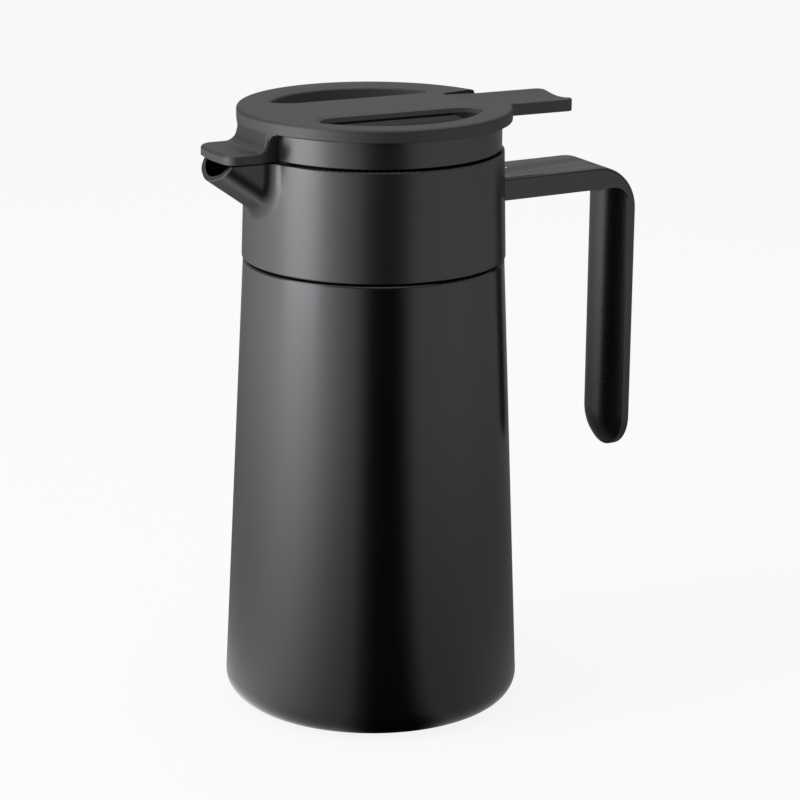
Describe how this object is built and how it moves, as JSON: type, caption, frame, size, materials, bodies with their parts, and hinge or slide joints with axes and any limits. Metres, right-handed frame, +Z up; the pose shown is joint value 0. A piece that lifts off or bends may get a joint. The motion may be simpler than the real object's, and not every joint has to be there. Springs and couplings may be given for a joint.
{
  "type": "thermal carafe",
  "caption": "Tapered insulated carafe with a black steel body, a short spout, an open handle and a twist-off lid whose thumb lever lifts a pouring valve.",
  "frame": {"origin": "centre of the base pad's underside, on the table", "axes": "+Z up along the body, -X towards the spout, +X towards the handle and the thumb lever"},
  "size_m": [0.1594, 0.1032, 0.2115],
  "materials": {
    "body_paint": "semi-gloss black paint over steel",
    "liner_steel": "brushed",
    "plate_steel": "rolled",
    "foil": "bright",
    "collar_plastic": "fine satin grain",
    "handle_plastic": "satin",
    "lid_plastic": "fine matte grain",
    "inner_plastic": "plain moulded",
    "base_rubber": "matte",
    "silicone": "translucent white",
    "bare_steel": "drawn wire and bar"
  },
  "bodies": {
    "vessel": {"outer_shell": "body_paint", "inner_liner": "liner_steel", "radiation_foil": "foil", "shell_base": "plate_steel", "vacuum_seal": "plate_steel", "getter": "plate_steel", "base_pad": "base_rubber", "neck_ring": "inner_plastic", "neck_gasket": "silicone", "collar": "collar_plastic", "handle": "handle_plastic", "handle_screws": "bare_steel"},
    "gasket": {"stopper_gasket": "silicone"},
    "lid": {"stopper_cup": "inner_plastic", "lid_body": "collar_plastic", "lid_cover": "lid_plastic", "lever_pin": "bare_steel", "stem_seal": "silicone", "valve_spring": "bare_steel"},
    "lever": {"lever": "lid_plastic"},
    "valve": {"valve_stem": "bare_steel", "stem_nut": "inner_plastic", "valve_head": "inner_plastic", "valve_gasket": "silicone", "valve_retainer": "inner_plastic"}
  },
  "joints": [
    {"name": "lid_rise", "type": "slide", "parent": "vessel", "child": "gasket", "axis": [0, 0, 1], "range_m": [0, 0.006]},
    {"name": "lid_turn", "type": "hinge", "parent": "gasket", "child": "lid", "pos_m": [0, 0, 0.19], "axis": [0, 0, 1], "range_deg": [0, 90]},
    {"name": "lever_press", "type": "hinge", "parent": "lid", "child": "lever", "pos_m": [0.0345, 0, 0.2061], "axis": [0, 1, 0], "range_deg": [0, 7.5], "stiffness_Nm_per_rad": 1.2, "springref_deg": -6.88},
    {"name": "valve_lift", "type": "slide", "parent": "lid", "child": "valve", "axis": [0, 0, 1], "range_m": [0, 0.0045], "deforming": ["valve_spring"]}
  ],
  "couplings": [
    {"joint": "lid_turn", "follows": "lid_rise", "rad_per_m": 261.79},
    {"joint": "lever_press", "follows": "valve_lift", "rad_per_m": 28.985}
  ]
}
